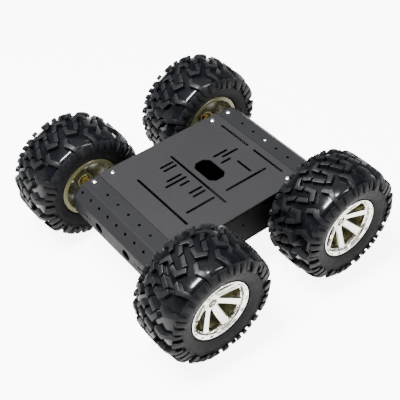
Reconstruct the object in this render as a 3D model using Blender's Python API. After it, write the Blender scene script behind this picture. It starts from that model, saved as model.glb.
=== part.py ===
"""Four-wheel-drive robot chassis: folded sheet body, four gearmotors, four off-road wheels.

Metres, +Z up, +X is the front, +Y is the left side. The origin is on the ground under the middle.
Profiles of turned pieces are lists of (radius, distance from the robot's middle plane).
"""
import math

import bmesh
import bpy
from mathutils import Matrix, Vector

# Overall layout
AXLE_X = 0.085            # axle to middle, along the robot
AXLE_Z = 0.065            # axle height, which is the tyre's radius
TOP_Z = 0.090             # upper face of the top plate
BASE_Z = 0.044            # underside of the tray
HALF_WIDTH = 0.0715       # outer face of the side walls

# Sheet metal
SHEET = 0.0015
GAP = 0.0003              # clearance between neighbouring pieces
BEND = 0.00125            # bend radius at the middle of the sheet
BEND_STEPS = 3
SEAM_X = 0.081            # middle of the seam between the top plate and an end cover
SEAM_HALF = 0.00025
NOSE_X = 0.1142           # outer end face of a cover
SHOULDER_X = 0.1015       # where a cover's flat top turns down
NOSE_TOP_Z = 0.0773
NOSE_LOW_Z = 0.0567
LIP_X = 0.090             # inner end of a cover's lower lip
FLOOR_END_X = 0.0988
FLANGE_END_X = 0.1005
FLANGE_TIP_Y = 0.055
WALL_INSET = 0.0005       # the side walls' ends sit back from the covers' faces

# Screws (M3 unless named otherwise)
SCREW_HOLE_R = 0.0017
SCREW_SHANK_R = 0.0014
SCREW_HEAD_R = 0.0029
SCREW_HEAD_H = 0.0017
SCREW_LENGTH = 0.006
FINE_SEGMENTS = 12        # round holes and pins that run in each other
SCREW_SEGMENTS = 8
PORT_SEGMENTS = 16
PLATE_SCREW_X = 0.068
COVER_SCREW_X = 0.091
TOP_SCREW_Y = 0.063

# Hole patterns of the covers
COVER_HOLE_R = 0.0017
FLAT_ROW = (0.0912, 5, 0.0189)       # distance along the robot, number of holes, pitch
CHAMFER_ROW = (0.10695, 9, 0.01574)
PORT_R = 0.006
PORT_Y = 0.0246
PORT_Z = 0.066
CLUSTER_Y = 0.048
CLUSTER_R = 0.0072
CLUSTER_HOLE_R = 0.0012
CLUSTER_SLOT_HALF = 0.0025
SIDE_HOLE_Z = 0.071

# Slots in the top plate: (x, y) of one end and the other, on the slot's middle line
SLOT_HALF_WIDTH = 0.0015
SLOTS = (
    ((-0.0538, 0.0360), (-0.0538, -0.0480)),
    ((-0.0043, 0.0435), (-0.0043, -0.0480)),
    ((-0.0240, 0.0358), (-0.0090, 0.0358)),
    ((-0.0240, 0.0295), (-0.0090, 0.0295)),
    ((-0.0310, 0.0145), (-0.0140, 0.0145)),
    ((-0.0375, 0.0080), (-0.0125, 0.0080)),
    ((-0.0240, 0.0008), (-0.0140, 0.0008)),
    ((-0.0240, -0.0147), (-0.0090, -0.0147)),
    ((-0.0240, -0.0213), (-0.0100, -0.0213)),
    ((-0.0435, -0.0357), (-0.0095, -0.0357)),
    ((0.0315, 0.0140), (0.0483, 0.0140)),
    ((0.0388, 0.0080), (0.0582, 0.0080)),
    ((0.0315, 0.0008), (0.0422, 0.0008)),
    ((0.0463, -0.0085), (0.0463, -0.0279)),
    ((0.0080, -0.0357), (0.0605, -0.0357)),
    ((0.0712, 0.0493), (0.0712, 0.0060)),
    ((0.0712, -0.0058), (0.0712, -0.0499)),
)
CABLE_OPENING = (0.0139, 0.0003, 0.01080, 0.01775, 0.0055)   # x, y, half sizes, corner cut

# Gearmotor, with its output shaft off centre
MOTOR_OFFSET = 0.007
GEARBOX_R = 0.0185
GEARBOX_FACE = 0.0697     # distance of the gearbox face from the middle plane
GEARBOX_LENGTH = 0.025
BOSS_R = 0.006
BOSS_END = 0.0745
BOSS_HOLE_R = 0.0063
CAN_R = 0.0165
CAN_LENGTH = 0.026
CAP_R = 0.0140
CAP_LENGTH = 0.003
FACE_SCREW_CIRCLE_R = 0.0155
FACE_SCREW_ANGLES = (60.0, 240.0)
FACE_HOLE_DEPTH = 0.0055
FACE_SCREW_LENGTH = 0.0060
MOTOR_SEGMENTS = 24
CAP_SEGMENTS = 16

# Shaft, coupling and wheel screw
SHAFT_R = 0.003
SHAFT_BORE_R = 0.0033
SHAFT_START = 0.0572
SHAFT_BORE_START = 0.0565
SHAFT_END = 0.0940
SHAFT_BEVEL = 0.0004
HEX_HALF = 0.006
HEX_START = 0.0755
HEX_END = 0.1040
HEX_STEP = 0.0945
WHEEL_SCREW_SHANK_R = 0.0017
WHEEL_SCREW_HOLE_R = 0.0020
WHEEL_SCREW_HEAD_R = 0.0035
WHEEL_SCREW_HEAD_H = 0.0025
WHEEL_SCREW_TIP = 0.0975
GRUB_R = 0.0015
GRUB_Y = 0.0800

# Rim
RIM_MID = 0.1121
RIM_HALF = 0.02825        # half of the rim's width
LIP_R = 0.0343
LIP_WIDTH = 0.003
BARREL_R = 0.0315
BARREL_BORE_R = 0.0295
WEB_OUTER = 0.1365        # outer face of the spokes where they meet the barrel
WEB_THICK = 0.0040
HUB_R = 0.009
HUB_FACE = 0.1270
HUB_START = 0.0960
HUB_SEAT = 0.1220         # where the wheel screw's head sits
HUB_POCKET_END = 0.1043
HUB_POCKET_HALF = 0.0063
HUB_BORE_R = 0.0023
HUB_SEAT_R = 0.0046
SPOKES = 7
SPOKE_HALF_WIDTH = 0.0035
WINDOW_INNER_R = 0.0115
WINDOW_OUTER_R = 0.0285
RIM_SEGMENTS = 4 * SPOKES
RIM_TURNS = {"front_left": 0.0, "front_right": -19.8, "rear_left": 0.0, "rear_right": 5.1}   # degrees

# Tyre and foam: (distance from the wheel's middle, radius) of half of each outline
TYRE_R = 0.065
GROOVE_R = 0.060
TYRE_HALF = 0.0364
TYRE_SIDEWALL = ((0.0251, 0.0318), (0.0251, 0.0349), (0.0280, 0.0354), (0.0310, 0.0430))
TYRE_GROOVE = ((0.0317, 0.0480), (0.0294, 0.0545), (0.0240, 0.0590), (0.0080, GROOVE_R))
TYRE_LUG = ((TYRE_HALF, 0.0505), (0.0335, 0.0575), (0.0270, 0.0630), (0.0080, TYRE_R))
TYRE_INSIDE = ((0.0240, 0.0565), (0.0290, 0.0460), (0.0170, 0.0318))
TREAD_PITCHES = 16
FOAM_OUTLINE = ((0.0150, 0.0325), (0.0260, 0.0450), (0.0180, 0.0550))
FOAM_SEGMENTS = 16

ENDS = (("front", 1), ("rear", -1))
SIDES = (("left", 1), ("right", -1))


# ---------------------------------------------------------------- scene and objects

def clear_scene():
    for obj in list(bpy.data.objects):
        bpy.data.objects.remove(obj, do_unlink=True)


def make_material(name, colour, roughness, metallic):
    material = bpy.data.materials.new(name)
    material.use_nodes = True
    shader = material.node_tree.nodes["Principled BSDF"]
    shader.inputs["Base Color"].default_value = (*colour, 1.0)
    shader.inputs["Roughness"].default_value = roughness
    shader.inputs["Metallic"].default_value = metallic
    return material


def add_object(name, mesh, material, parent=None, matrix=None):
    obj = bpy.data.objects.new(name, mesh)
    bpy.context.scene.collection.objects.link(obj)
    if material and not mesh.materials:
        mesh.materials.append(material)
    if parent:
        obj.parent = parent
    if matrix:
        obj.matrix_local = matrix
    return obj


def finish_mesh(bm, name, smooth_angle=35.0):
    bmesh.ops.recalc_face_normals(bm, faces=bm.faces)
    mesh = bpy.data.meshes.new(name)
    bm.to_mesh(mesh)
    bm.free()
    mesh.shade_smooth()
    mesh.set_sharp_from_angle(angle=math.radians(smooth_angle))
    return mesh


def add_guide(name, bm):
    """A cutting body: drawn as wire and never rendered."""
    guide = add_object(name, finish_mesh(bm, name), None)
    guide.hide_render = True
    guide.display_type = "WIRE"
    return guide


def cut_mesh(mesh, name, cutter_bm):
    """The mesh left when the bodies in cutter_bm are taken out of it."""
    blank = add_object(name + "_blank", mesh, None)
    guide = add_guide(name + "_cutter", cutter_bm)
    difference = blank.modifiers.new("cut", "BOOLEAN")
    difference.operation = "DIFFERENCE"
    difference.solver = "EXACT"
    difference.use_self = True
    difference.object = guide
    graph = bpy.context.evaluated_depsgraph_get()
    result = bpy.data.meshes.new_from_object(blank.evaluated_get(graph))
    result.name = name
    bpy.data.objects.remove(blank, do_unlink=True)
    bpy.data.objects.remove(guide, do_unlink=True)
    return result


# ---------------------------------------------------------------- shapes

def spin_profile(profile, segments):
    """Turn a closed outline of (radius, distance) points about the Y axis."""
    bm = bmesh.new()
    ring = [bm.verts.new((r, s, 0.0)) for r, s in profile]
    edges = [bm.edges.new((ring[i - 1], ring[i])) for i in range(len(ring))]
    bmesh.ops.spin(bm, geom=ring + edges, cent=(0, 0, 0), axis=(0, 1, 0),
                   angle=math.tau, steps=segments, use_merge=True)
    bmesh.ops.remove_doubles(bm, verts=bm.verts, dist=1e-6)
    bmesh.ops.dissolve_degenerate(bm, edges=bm.edges, dist=1e-7)
    return bm


def add_prism(bm, outline, start, end, to_world=Matrix.Identity(4)):
    """A prism on an outline of (a, b) points, from start to end along its own Z."""
    low = [bm.verts.new(to_world @ Vector((a, b, start))) for a, b in outline]
    high = [bm.verts.new(to_world @ Vector((a, b, end))) for a, b in outline]
    faces = [bm.faces.new(low), bm.faces.new(list(reversed(high)))]
    for i in range(len(low)):
        faces.append(bm.faces.new((low[i - 1], high[i - 1], high[i], low[i])))
    return faces


def circle(radius, segments, centre=(0.0, 0.0)):
    step = math.tau / segments
    return [(centre[0] + radius * math.cos((i + 0.5) * step),
             centre[1] + radius * math.sin((i + 0.5) * step)) for i in range(segments)]


def stadium(a, b, half_width, steps=4):
    """Outline of a slot with round ends between points a and b."""
    heading = math.atan2(b[1] - a[1], b[0] - a[0])
    points = []
    for end, start in ((b, heading - math.pi / 2), (a, heading + math.pi / 2)):
        for i in range(steps + 1):
            turn = start + math.pi * i / steps
            points.append((end[0] + half_width * math.cos(turn), end[1] + half_width * math.sin(turn)))
    return points


def folded_sheet(line, thickness, bend, steps):
    """Outline of a bent sheet whose middle line runs through the given corners."""
    middle = [(Vector(line[0]), (Vector(line[1]) - Vector(line[0])).normalized())]
    for before, corner, after in zip(line, line[1:], line[2:]):
        corner = Vector(corner)
        inward = (corner - Vector(before)).normalized()
        outward = (Vector(after) - corner).normalized()
        turn = inward.angle_signed(outward)
        reach = bend * math.tan(abs(turn) / 2)
        side = 1 if turn > 0 else -1
        centre = corner - inward * reach - side * bend * Vector((-inward.y, inward.x))
        start = corner - inward * reach - centre
        for i in range(steps + 1):
            spin = Matrix.Rotation(-turn * i / steps, 2)
            middle.append((centre + spin @ start, spin @ inward))
    middle.append((Vector(line[-1]), (Vector(line[-1]) - Vector(line[-2])).normalized()))
    half = thickness / 2
    left = [(p.x - half * d.y, p.y + half * d.x) for p, d in middle]
    right = [(p.x + half * d.y, p.y - half * d.x) for p, d in middle]
    return left + right[::-1]


def along_y():
    """Prism frame whose outline is (X, Z) and whose length runs along -Y."""
    return Matrix.Rotation(math.radians(90), 4, "X")


def along_y_outward():
    """Prism frame whose outline is (X, Z) and whose length runs along +Y."""
    return Matrix(((1, 0, 0, 0), (0, 0, 1, 0), (0, 1, 0, 0), (0, 0, 0, 1)))


def along_x():
    """Prism frame whose outline is (Y, Z) and whose length runs along +X."""
    return Matrix(((0, 0, 1, 0), (1, 0, 0, 0), (0, 1, 0, 0), (0, 0, 0, 1)))


# ---------------------------------------------------------------- places of the four corners

def corner_names():
    for end_name, end in ENDS:
        for side_name, side in SIDES:
            yield end_name + "_" + side_name, end, side


def corner_matrix(end, side):
    """Frame on the axle with +Y pointing outward from the robot's middle plane."""
    turn = 0.0 if side > 0 else math.pi
    return Matrix.Translation((end * AXLE_X, 0, AXLE_Z)) @ Matrix.Rotation(turn, 4, "Z")


def motor_roll(end, side):
    """Every gearmotor is the same unit, rolled so that its body lies towards the middle."""
    return Matrix.Rotation(0.0 if end * side > 0 else math.pi, 4, "Y")


def face_screw_points():
    for degrees in FACE_SCREW_ANGLES:
        turn = math.radians(degrees)
        yield -MOTOR_OFFSET + FACE_SCREW_CIRCLE_R * math.cos(turn), FACE_SCREW_CIRCLE_R * math.sin(turn)


# ---------------------------------------------------------------- chassis sheet metal

def top_plate_mesh():
    half_length = SEAM_X - SEAM_HALF
    bm = bmesh.new()
    outline = [(-half_length, -HALF_WIDTH), (half_length, -HALF_WIDTH),
               (half_length, HALF_WIDTH), (-half_length, HALF_WIDTH)]
    add_prism(bm, outline, TOP_Z - SHEET, TOP_Z)
    plate = finish_mesh(bm, "top_plate_blank")
    cutters = bmesh.new()
    low, high = TOP_Z - 2 * SHEET, TOP_Z + SHEET
    for a, b in SLOTS:
        add_prism(cutters, stadium(a, b, SLOT_HALF_WIDTH), low, high)
    x, y, half_x, half_y, corner = CABLE_OPENING
    opening = []
    for sx, sy in ((1, -1), (1, 1), (-1, 1), (-1, -1)):
        pair = [(x + sx * half_x, y + sy * (half_y - corner)), (x + sx * (half_x - corner), y + sy * half_y)]
        opening.extend(pair if sx * sy > 0 else pair[::-1])
    add_prism(cutters, opening, low, high)
    for sx in (-1, 1):
        for sy in (-1, 1):
            centre = (sx * PLATE_SCREW_X, sy * TOP_SCREW_Y)
            add_prism(cutters, circle(SCREW_HOLE_R, SCREW_SEGMENTS, centre), low, high)
    return cut_mesh(plate, "top_plate", cutters)


def cover_mesh():
    """End cover for the front; the rear one is the same piece turned round."""
    half = SHEET / 2
    slope = half * math.tan(math.radians(22.5))
    lip_z = BASE_Z + SHEET + GAP + half
    drop = lip_z - (BASE_Z + half)
    line = [(SEAM_X + SEAM_HALF, TOP_Z - half), (SHOULDER_X - slope, TOP_Z - half),
            (NOSE_X - half, NOSE_TOP_Z - slope), (NOSE_X - half, NOSE_LOW_Z + slope),
            (SHOULDER_X - slope + drop, lip_z), (LIP_X, lip_z)]
    bm = bmesh.new()
    width = HALF_WIDTH - SHEET - GAP
    add_prism(bm, folded_sheet(line, SHEET, 2 * BEND, BEND_STEPS), -width, width, along_y())
    cover = finish_mesh(bm, "cover_blank")
    cutters = bmesh.new()
    x, count, pitch = FLAT_ROW
    low, high = TOP_Z - 2 * SHEET, TOP_Z + SHEET
    for i in range(count):
        y = (i - (count - 1) / 2) * pitch
        add_prism(cutters, circle(COVER_HOLE_R, SCREW_SEGMENTS, (x, y)), low, high)
    for sy in (-1, 1):
        add_prism(cutters, circle(SCREW_HOLE_R, SCREW_SEGMENTS, (COVER_SCREW_X, sy * TOP_SCREW_Y)), low, high)
    x, count, pitch = CHAMFER_ROW
    middle_z = TOP_Z - (x - SHOULDER_X)
    tilt = Matrix.Translation((x, 0, middle_z)) @ Matrix.Rotation(math.radians(45), 4, "Y")
    for i in range(count):
        y = (i - (count - 1) / 2) * pitch
        add_prism(cutters, circle(COVER_HOLE_R, SCREW_SEGMENTS, (0, y)), -2 * SHEET, SHEET, tilt)
    inside, outside = NOSE_X - 2 * SHEET, NOSE_X + SHEET
    for sy in (-1, 1):
        add_prism(cutters, circle(PORT_R, PORT_SEGMENTS, (sy * PORT_Y, PORT_Z)), inside, outside, along_x())
        y = sy * CLUSTER_Y
        slot = stadium((y - CLUSTER_SLOT_HALF, PORT_Z), (y + CLUSTER_SLOT_HALF, PORT_Z), SLOT_HALF_WIDTH)
        add_prism(cutters, slot, inside, outside, along_x())
        for dy, dz in ((1, 0), (0, 1), (-1, 0), (0, -1)):
            centre = (y + dy * CLUSTER_R, PORT_Z + dz * CLUSTER_R)
            add_prism(cutters, circle(CLUSTER_HOLE_R, SCREW_SEGMENTS, centre), inside, outside, along_x())
    return cut_mesh(cover, "cover", cutters)


def tray_mesh():
    """Floor, two side walls and the two inward flanges, folded from one sheet."""
    half = SHEET / 2
    wall_y = HALF_WIDTH - half
    flange_z = TOP_Z - SHEET - GAP - half
    line = [(FLANGE_TIP_Y, flange_z), (wall_y, flange_z), (wall_y, BASE_Z + half),
            (-wall_y, BASE_Z + half), (-wall_y, flange_z), (-FLANGE_TIP_Y, flange_z)]
    wall_end = NOSE_X - WALL_INSET
    bm = bmesh.new()
    add_prism(bm, folded_sheet(line, SHEET, BEND, BEND_STEPS), -wall_end, wall_end, along_x())
    tray = finish_mesh(bm, "tray_blank")
    cutters = bmesh.new()
    through = HALF_WIDTH + SHEET
    inner = HALF_WIDTH - SHEET - GAP / 2
    for end in (-1, 1):
        shoulder = SHOULDER_X - WALL_INSET
        past = NOSE_X + SHEET
        upper = [(end * shoulder, TOP_Z), (end * past, TOP_Z - (past - shoulder)), (end * past, TOP_Z + SHEET),
                 (end * shoulder, TOP_Z + SHEET)]
        lower = [(end * shoulder, BASE_Z), (end * past, BASE_Z + (past - shoulder)),
                 (end * past, BASE_Z - SHEET), (end * shoulder, BASE_Z - SHEET)]
        add_prism(cutters, upper, -through, through, along_y())
        add_prism(cutters, lower, -through, through, along_y())
        floor_x, flange_x = end * FLOOR_END_X, end * FLANGE_END_X
        floor_cut = [(floor_x, -inner), (end * past, -inner), (end * past, inner), (floor_x, inner)]
        flange_cut = [(flange_x, -inner), (end * past, -inner), (end * past, inner), (flange_x, inner)]
        add_prism(cutters, floor_cut, BASE_Z - 2 * SHEET, BASE_Z + 3 * SHEET)
        add_prism(cutters, flange_cut, flange_z - 3 * SHEET, TOP_Z + 2 * SHEET)
        for screw_x in (PLATE_SCREW_X, COVER_SCREW_X):
            for sy in (-1, 1):
                centre = (end * screw_x, sy * TOP_SCREW_Y)
                add_prism(cutters, circle(SCREW_HOLE_R, SCREW_SEGMENTS, centre), flange_z - SHEET, TOP_Z)
    for _, end, side in corner_names():
        frame = corner_matrix(end, side) @ motor_roll(end, side)
        outward = along_y_outward()
        inside, outside = HALF_WIDTH - 2 * SHEET, HALF_WIDTH + SHEET
        add_prism(cutters, circle(BOSS_HOLE_R, PORT_SEGMENTS), inside, outside, frame @ outward)
        for x, z in face_screw_points():
            add_prism(cutters, circle(SCREW_HOLE_R, SCREW_SEGMENTS, (x, z)), inside, outside, frame @ outward)
    side_hole = circle(SCREW_HOLE_R, SCREW_SEGMENTS, (0, SIDE_HOLE_Z))
    for start, end in ((HALF_WIDTH - 2 * SHEET, through), (-through, 2 * SHEET - HALF_WIDTH)):
        add_prism(cutters, side_hole, start, end, along_y())
    return cut_mesh(tray, "base_tray", cutters)


# ---------------------------------------------------------------- gearmotor

def gearbox_mesh():
    """Round gearbox with the boss of its output shaft off centre; the frame's Y axis is the shaft."""
    back = GEARBOX_FACE - GEARBOX_LENGTH
    bm = bmesh.new()
    add_prism(bm, circle(GEARBOX_R, MOTOR_SEGMENTS, (-MOTOR_OFFSET, 0)), back, GEARBOX_FACE, along_y_outward())
    body = add_object("gearbox_blank", finish_mesh(bm, "gearbox_blank"), None)
    bm = bmesh.new()
    boss = circle(BOSS_R, PORT_SEGMENTS)
    add_prism(bm, boss, GEARBOX_FACE - SHEET, BOSS_END, along_y_outward())
    guide = add_guide("gearbox_boss", bm)
    union = body.modifiers.new("boss", "BOOLEAN")
    union.operation = "UNION"
    union.solver = "EXACT"
    union.object = guide
    graph = bpy.context.evaluated_depsgraph_get()
    joined = bpy.data.meshes.new_from_object(body.evaluated_get(graph))
    bpy.data.objects.remove(body, do_unlink=True)
    bpy.data.objects.remove(guide, do_unlink=True)
    cutters = bmesh.new()
    shaft_bore = circle(SHAFT_BORE_R, FINE_SEGMENTS)
    add_prism(cutters, shaft_bore, SHAFT_BORE_START, BOSS_END + SHEET, along_y_outward())
    for centre in face_screw_points():
        hole = circle(SCREW_HOLE_R, SCREW_SEGMENTS, centre)
        add_prism(cutters, hole, GEARBOX_FACE - FACE_HOLE_DEPTH, GEARBOX_FACE + SHEET, along_y_outward())
    return cut_mesh(joined, "gearbox", cutters)


def motor_can_mesh():
    """Pressed steel can with a rounded rim and the bearing seat at its back."""
    front = GEARBOX_FACE - GEARBOX_LENGTH - GAP
    back = front - CAN_LENGTH
    round_off = 0.0015
    seat_r, seat_depth = 0.0050, 0.0012
    profile = [(0, front), (CAN_R, front), (CAN_R, back + round_off), (CAN_R - round_off, back),
               (seat_r, back), (seat_r, back - seat_depth), (0, back - seat_depth)]
    return finish_mesh(spin_profile(profile, MOTOR_SEGMENTS), "motor_can")


def motor_cap_mesh():
    """Moulded brush cap round the bearing seat."""
    front = GEARBOX_FACE - GEARBOX_LENGTH - CAN_LENGTH - 2 * GAP
    back = front - CAP_LENGTH
    bore, chamfer = 0.0056, 0.0006
    profile = [(bore, front), (CAP_R, front), (CAP_R, back + chamfer), (CAP_R - chamfer, back), (bore, back)]
    return finish_mesh(spin_profile(profile, CAP_SEGMENTS), "motor_cap")


def shaft_mesh():
    profile = [(0, SHAFT_START), (SHAFT_R, SHAFT_START), (SHAFT_R, SHAFT_END - SHAFT_BEVEL),
               (SHAFT_R - SHAFT_BEVEL, SHAFT_END), (0, SHAFT_END)]
    return finish_mesh(spin_profile(profile, FINE_SEGMENTS), "output_shaft")


def button_screw_mesh(name, seat, shank_r, head_r, head_h, tip):
    """Button-head screw along Y, its head above the seat, with a socket in its face."""
    socket_r, socket_depth = head_r * 0.4, head_h * 0.5
    top = seat + head_h
    profile = [(0, top - socket_depth), (socket_r, top), (head_r * 0.72, top - head_h * 0.10),
               (head_r, seat + head_h * 0.35), (head_r, seat), (shank_r, seat), (shank_r, tip), (0, tip)]
    return finish_mesh(spin_profile(profile, SCREW_SEGMENTS), name)


# ---------------------------------------------------------------- wheel

def hexagon(half_width):
    """Outline of a hexagon across flats, with two flats facing up and down."""
    corner = half_width / math.cos(math.radians(30))
    return [(corner * math.cos(math.radians(60 * i)), corner * math.sin(math.radians(60 * i))) for i in range(6)]


def coupling_mesh():
    """Brass hexagon with a stepped bore for the shaft and the wheel screw, and a grub-screw hole."""
    bm = bmesh.new()
    add_prism(bm, hexagon(HEX_HALF), HEX_START, HEX_END, along_y_outward())
    body = finish_mesh(bm, "coupling_blank")
    cutters = bmesh.new()
    bore = [(0, HEX_START - SHEET), (SHAFT_BORE_R, HEX_START - SHEET), (SHAFT_BORE_R, HEX_STEP),
            (WHEEL_SCREW_HOLE_R, HEX_STEP), (WHEEL_SCREW_HOLE_R, HEX_END + SHEET), (0, HEX_END + SHEET)]
    turned = finish_mesh(spin_profile(bore, FINE_SEGMENTS), "bore")
    cutters.from_mesh(turned)
    bpy.data.meshes.remove(turned)
    bored = cut_mesh(body, "coupling_bored", cutters)
    grub_hole = bmesh.new()
    add_prism(grub_hole, circle(GRUB_R + GAP, SCREW_SEGMENTS, (0, GRUB_Y)), 0, HEX_HALF + SHEET)
    return cut_mesh(bored, "hex_coupling", grub_hole)


def grub_screw_mesh():
    """Set screw standing on the shaft, flush with the coupling's flat."""
    socket_r, socket_depth, chamfer = 0.0008, 0.0010, 0.0003
    foot, top = SHAFT_R + GAP, HEX_HALF - chamfer
    profile = [(0, foot), (GRUB_R - chamfer, foot), (GRUB_R, foot + chamfer), (GRUB_R, top),
               (socket_r, top), (0, top - socket_depth)]
    mesh = finish_mesh(spin_profile(profile, SCREW_SEGMENTS), "grub_screw")
    mesh.transform(Matrix.Translation((0, GRUB_Y, 0)) @ Matrix.Rotation(math.radians(90), 4, "X"))
    return mesh


def rim_mesh():
    """Deep-dish rim: barrel with two lips, a conical web with a window between spokes, and a hub."""
    inner, outer = RIM_MID - RIM_HALF, RIM_MID + RIM_HALF
    bead = LIP_WIDTH
    dish_lip_r = BARREL_BORE_R + 0.0012
    profile = [(BARREL_BORE_R, inner), (LIP_R, inner), (LIP_R, inner + bead), (BARREL_R, inner + bead),
               (BARREL_R, outer - bead), (LIP_R, outer - bead), (LIP_R, outer - bead / 3),
               (LIP_R - bead / 3, outer), (dish_lip_r, outer - bead / 3), (BARREL_BORE_R, WEB_OUTER),
               (HUB_R, HUB_FACE), (HUB_SEAT_R, HUB_FACE), (HUB_SEAT_R, HUB_SEAT), (HUB_BORE_R, HUB_SEAT),
               (HUB_BORE_R, HUB_START), (HUB_R, HUB_START), (HUB_R, HUB_FACE - WEB_THICK),
               (BARREL_BORE_R, WEB_OUTER - WEB_THICK)]
    turned = finish_mesh(spin_profile(profile, RIM_SEGMENTS), "rim_blank")
    cutters = bmesh.new()
    add_prism(cutters, hexagon(HUB_POCKET_HALF), HUB_START - SHEET, HUB_POCKET_END, along_y_outward())
    half_turn = math.pi / SPOKES
    for i in range(SPOKES):
        window = []
        for radius in (WINDOW_INNER_R, WINDOW_OUTER_R):
            window.append((radius, half_turn - math.asin(SPOKE_HALF_WIDTH / radius)))
        (near, near_turn), (far, far_turn) = window
        middle = (2 * i + 1) * half_turn
        spread = [(near, -near_turn), (far, -far_turn), (far, 0.0), (far, far_turn), (near, near_turn)]
        outline = [(r * math.cos(middle + a), r * math.sin(middle + a)) for r, a in spread]
        add_prism(cutters, outline, HUB_FACE - 3 * WEB_THICK, RIM_MID + RIM_HALF, along_y_outward())
    return cut_mesh(turned, "rim", cutters)


def tyre_mesh():
    """Balloon tyre with two rows of staggered lugs, open towards the rim."""
    columns = 2 * TREAD_PITCHES
    bm = bmesh.new()
    grid = []
    for column in range(columns):
        turn = math.tau * column / columns
        inner, outer = (TYRE_LUG, TYRE_GROOVE) if column % 2 == 0 else (TYRE_GROOVE, TYRE_LUG)
        outline = [(-s, r) for s, r in TYRE_SIDEWALL + inner] + list((TYRE_SIDEWALL + outer)[::-1])
        outline += list(TYRE_INSIDE[::-1]) + [(-s, r) for s, r in TYRE_INSIDE]
        grid.append([bm.verts.new((r * math.cos(turn), RIM_MID + s, r * math.sin(turn))) for s, r in outline])
    for here, following in zip(grid, grid[1:] + grid[:1]):
        for i in range(len(here)):
            bm.faces.new((here[i - 1], here[i], following[i], following[i - 1]))
    bmesh.ops.triangulate(bm, faces=bm.faces)
    return finish_mesh(bm, "tyre", 20.0)


def foam_mesh():
    """Foam ring that carries the tyre's weight."""
    outline = [(r, RIM_MID - s) for s, r in FOAM_OUTLINE] + [(r, RIM_MID + s) for s, r in FOAM_OUTLINE[::-1]]
    return finish_mesh(spin_profile(outline, FOAM_SEGMENTS), "foam_insert")


# ---------------------------------------------------------------- assembly

def build_chassis(paint, steel):
    chassis = bpy.data.objects.new("chassis", None)
    bpy.context.scene.collection.objects.link(chassis)
    add_object("base_tray", tray_mesh(), paint, chassis)
    add_object("top_plate", top_plate_mesh(), paint, chassis)
    cover = cover_mesh()
    for name, end in ENDS:
        turn = Matrix.Rotation(0.0 if end > 0 else math.pi, 4, "Z")
        add_object(name + "_cover", cover, paint, chassis, turn)
    screw = button_screw_mesh("top_screw", GAP, SCREW_SHANK_R, SCREW_HEAD_R, SCREW_HEAD_H, -SCREW_LENGTH)
    upright = Matrix.Rotation(math.radians(90), 4, "X")
    for name, end, side in corner_names():
        for kind, x in (("plate_screw_", PLATE_SCREW_X), ("cover_screw_", COVER_SCREW_X)):
            place = Matrix.Translation((end * x, side * TOP_SCREW_Y, TOP_Z)) @ upright
            add_object(kind + name, screw, steel, chassis, place)


def build_motors(steel, dark_steel, nylon):
    gearbox, can, cap = gearbox_mesh(), motor_can_mesh(), motor_cap_mesh()
    tip = HALF_WIDTH - FACE_SCREW_LENGTH
    screw = button_screw_mesh("motor_screw", HALF_WIDTH + GAP, SCREW_SHANK_R, SCREW_HEAD_R, SCREW_HEAD_H, tip)
    for name, end, side in corner_names():
        motor = bpy.data.objects.new("motor_" + name, None)
        bpy.context.scene.collection.objects.link(motor)
        motor.matrix_local = corner_matrix(end, side) @ motor_roll(end, side)
        centre = Matrix.Translation((-MOTOR_OFFSET, 0, 0))
        add_object("gearbox_" + name, gearbox, dark_steel, motor)
        add_object("motor_can_" + name, can, steel, motor, centre)
        add_object("motor_cap_" + name, cap, nylon, motor, centre)
        for number, (x, z) in enumerate(face_screw_points(), 1):
            place = Matrix.Translation((x, 0, z))
            add_object("motor_screw_" + name + "_" + str(number), screw, steel, motor, place)


def build_wheels(steel, brass, chrome, rubber, foam_plastic):
    shaft, coupling, grub, rim = shaft_mesh(), coupling_mesh(), grub_screw_mesh(), rim_mesh()
    tyre, foam = tyre_mesh(), foam_mesh()
    wheel_screw = button_screw_mesh("wheel_screw", HUB_SEAT + GAP, WHEEL_SCREW_SHANK_R,
                                    WHEEL_SCREW_HEAD_R, WHEEL_SCREW_HEAD_H, WHEEL_SCREW_TIP)
    for name, end, side in corner_names():
        axle = bpy.data.objects.new("axle_" + name, None)
        bpy.context.scene.collection.objects.link(axle)
        axle.matrix_local = corner_matrix(end, side)
        turned = Matrix.Rotation(math.radians(RIM_TURNS[name]), 4, "Y")
        add_object("output_shaft_" + name, shaft, steel, axle)
        add_object("hex_coupling_" + name, coupling, brass, axle, turned)
        add_object("grub_screw_" + name, grub, steel, axle, turned)
        add_object("rim_" + name, rim, chrome, axle, turned)
        add_object("tyre_" + name, tyre, rubber, axle)
        add_object("foam_insert_" + name, foam, foam_plastic, axle)
        add_object("wheel_screw_" + name, wheel_screw, steel, axle)


def build():
    clear_scene()
    steel = make_material("nickel_steel", (0.72, 0.72, 0.70), 0.28, 1.0)
    dark_steel = make_material("gearbox_steel", (0.30, 0.30, 0.31), 0.42, 1.0)
    paint = make_material("black_coating", (0.075, 0.077, 0.082), 0.48, 0.0)
    nylon = make_material("black_nylon", (0.02, 0.02, 0.02), 0.55, 0.0)
    brass = make_material("brass", (0.74, 0.55, 0.24), 0.30, 1.0)
    chrome = make_material("chrome_plate", (0.90, 0.90, 0.88), 0.08, 1.0)
    rubber = make_material("tyre_rubber", (0.018, 0.018, 0.020), 0.50, 0.0)
    foam_plastic = make_material("foam", (0.10, 0.10, 0.10), 0.95, 0.0)
    build_chassis(paint, steel)
    build_motors(steel, dark_steel, nylon)
    build_wheels(steel, brass, chrome, rubber, foam_plastic)


build()
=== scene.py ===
"""Looks of the four-wheel-drive robot chassis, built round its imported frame.

Metres, +Z up, +X is the front, +Y is the left side. Wheel and motor pieces are made in a frame whose
Y axis is the axle, pointing outward, with its origin on the robot's middle plane. Tyres are made about
the middle of their own width, with the robot's axes.
"""
import math

import bmesh
import bpy
import numpy as np
from mathutils import Matrix, Vector


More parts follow.
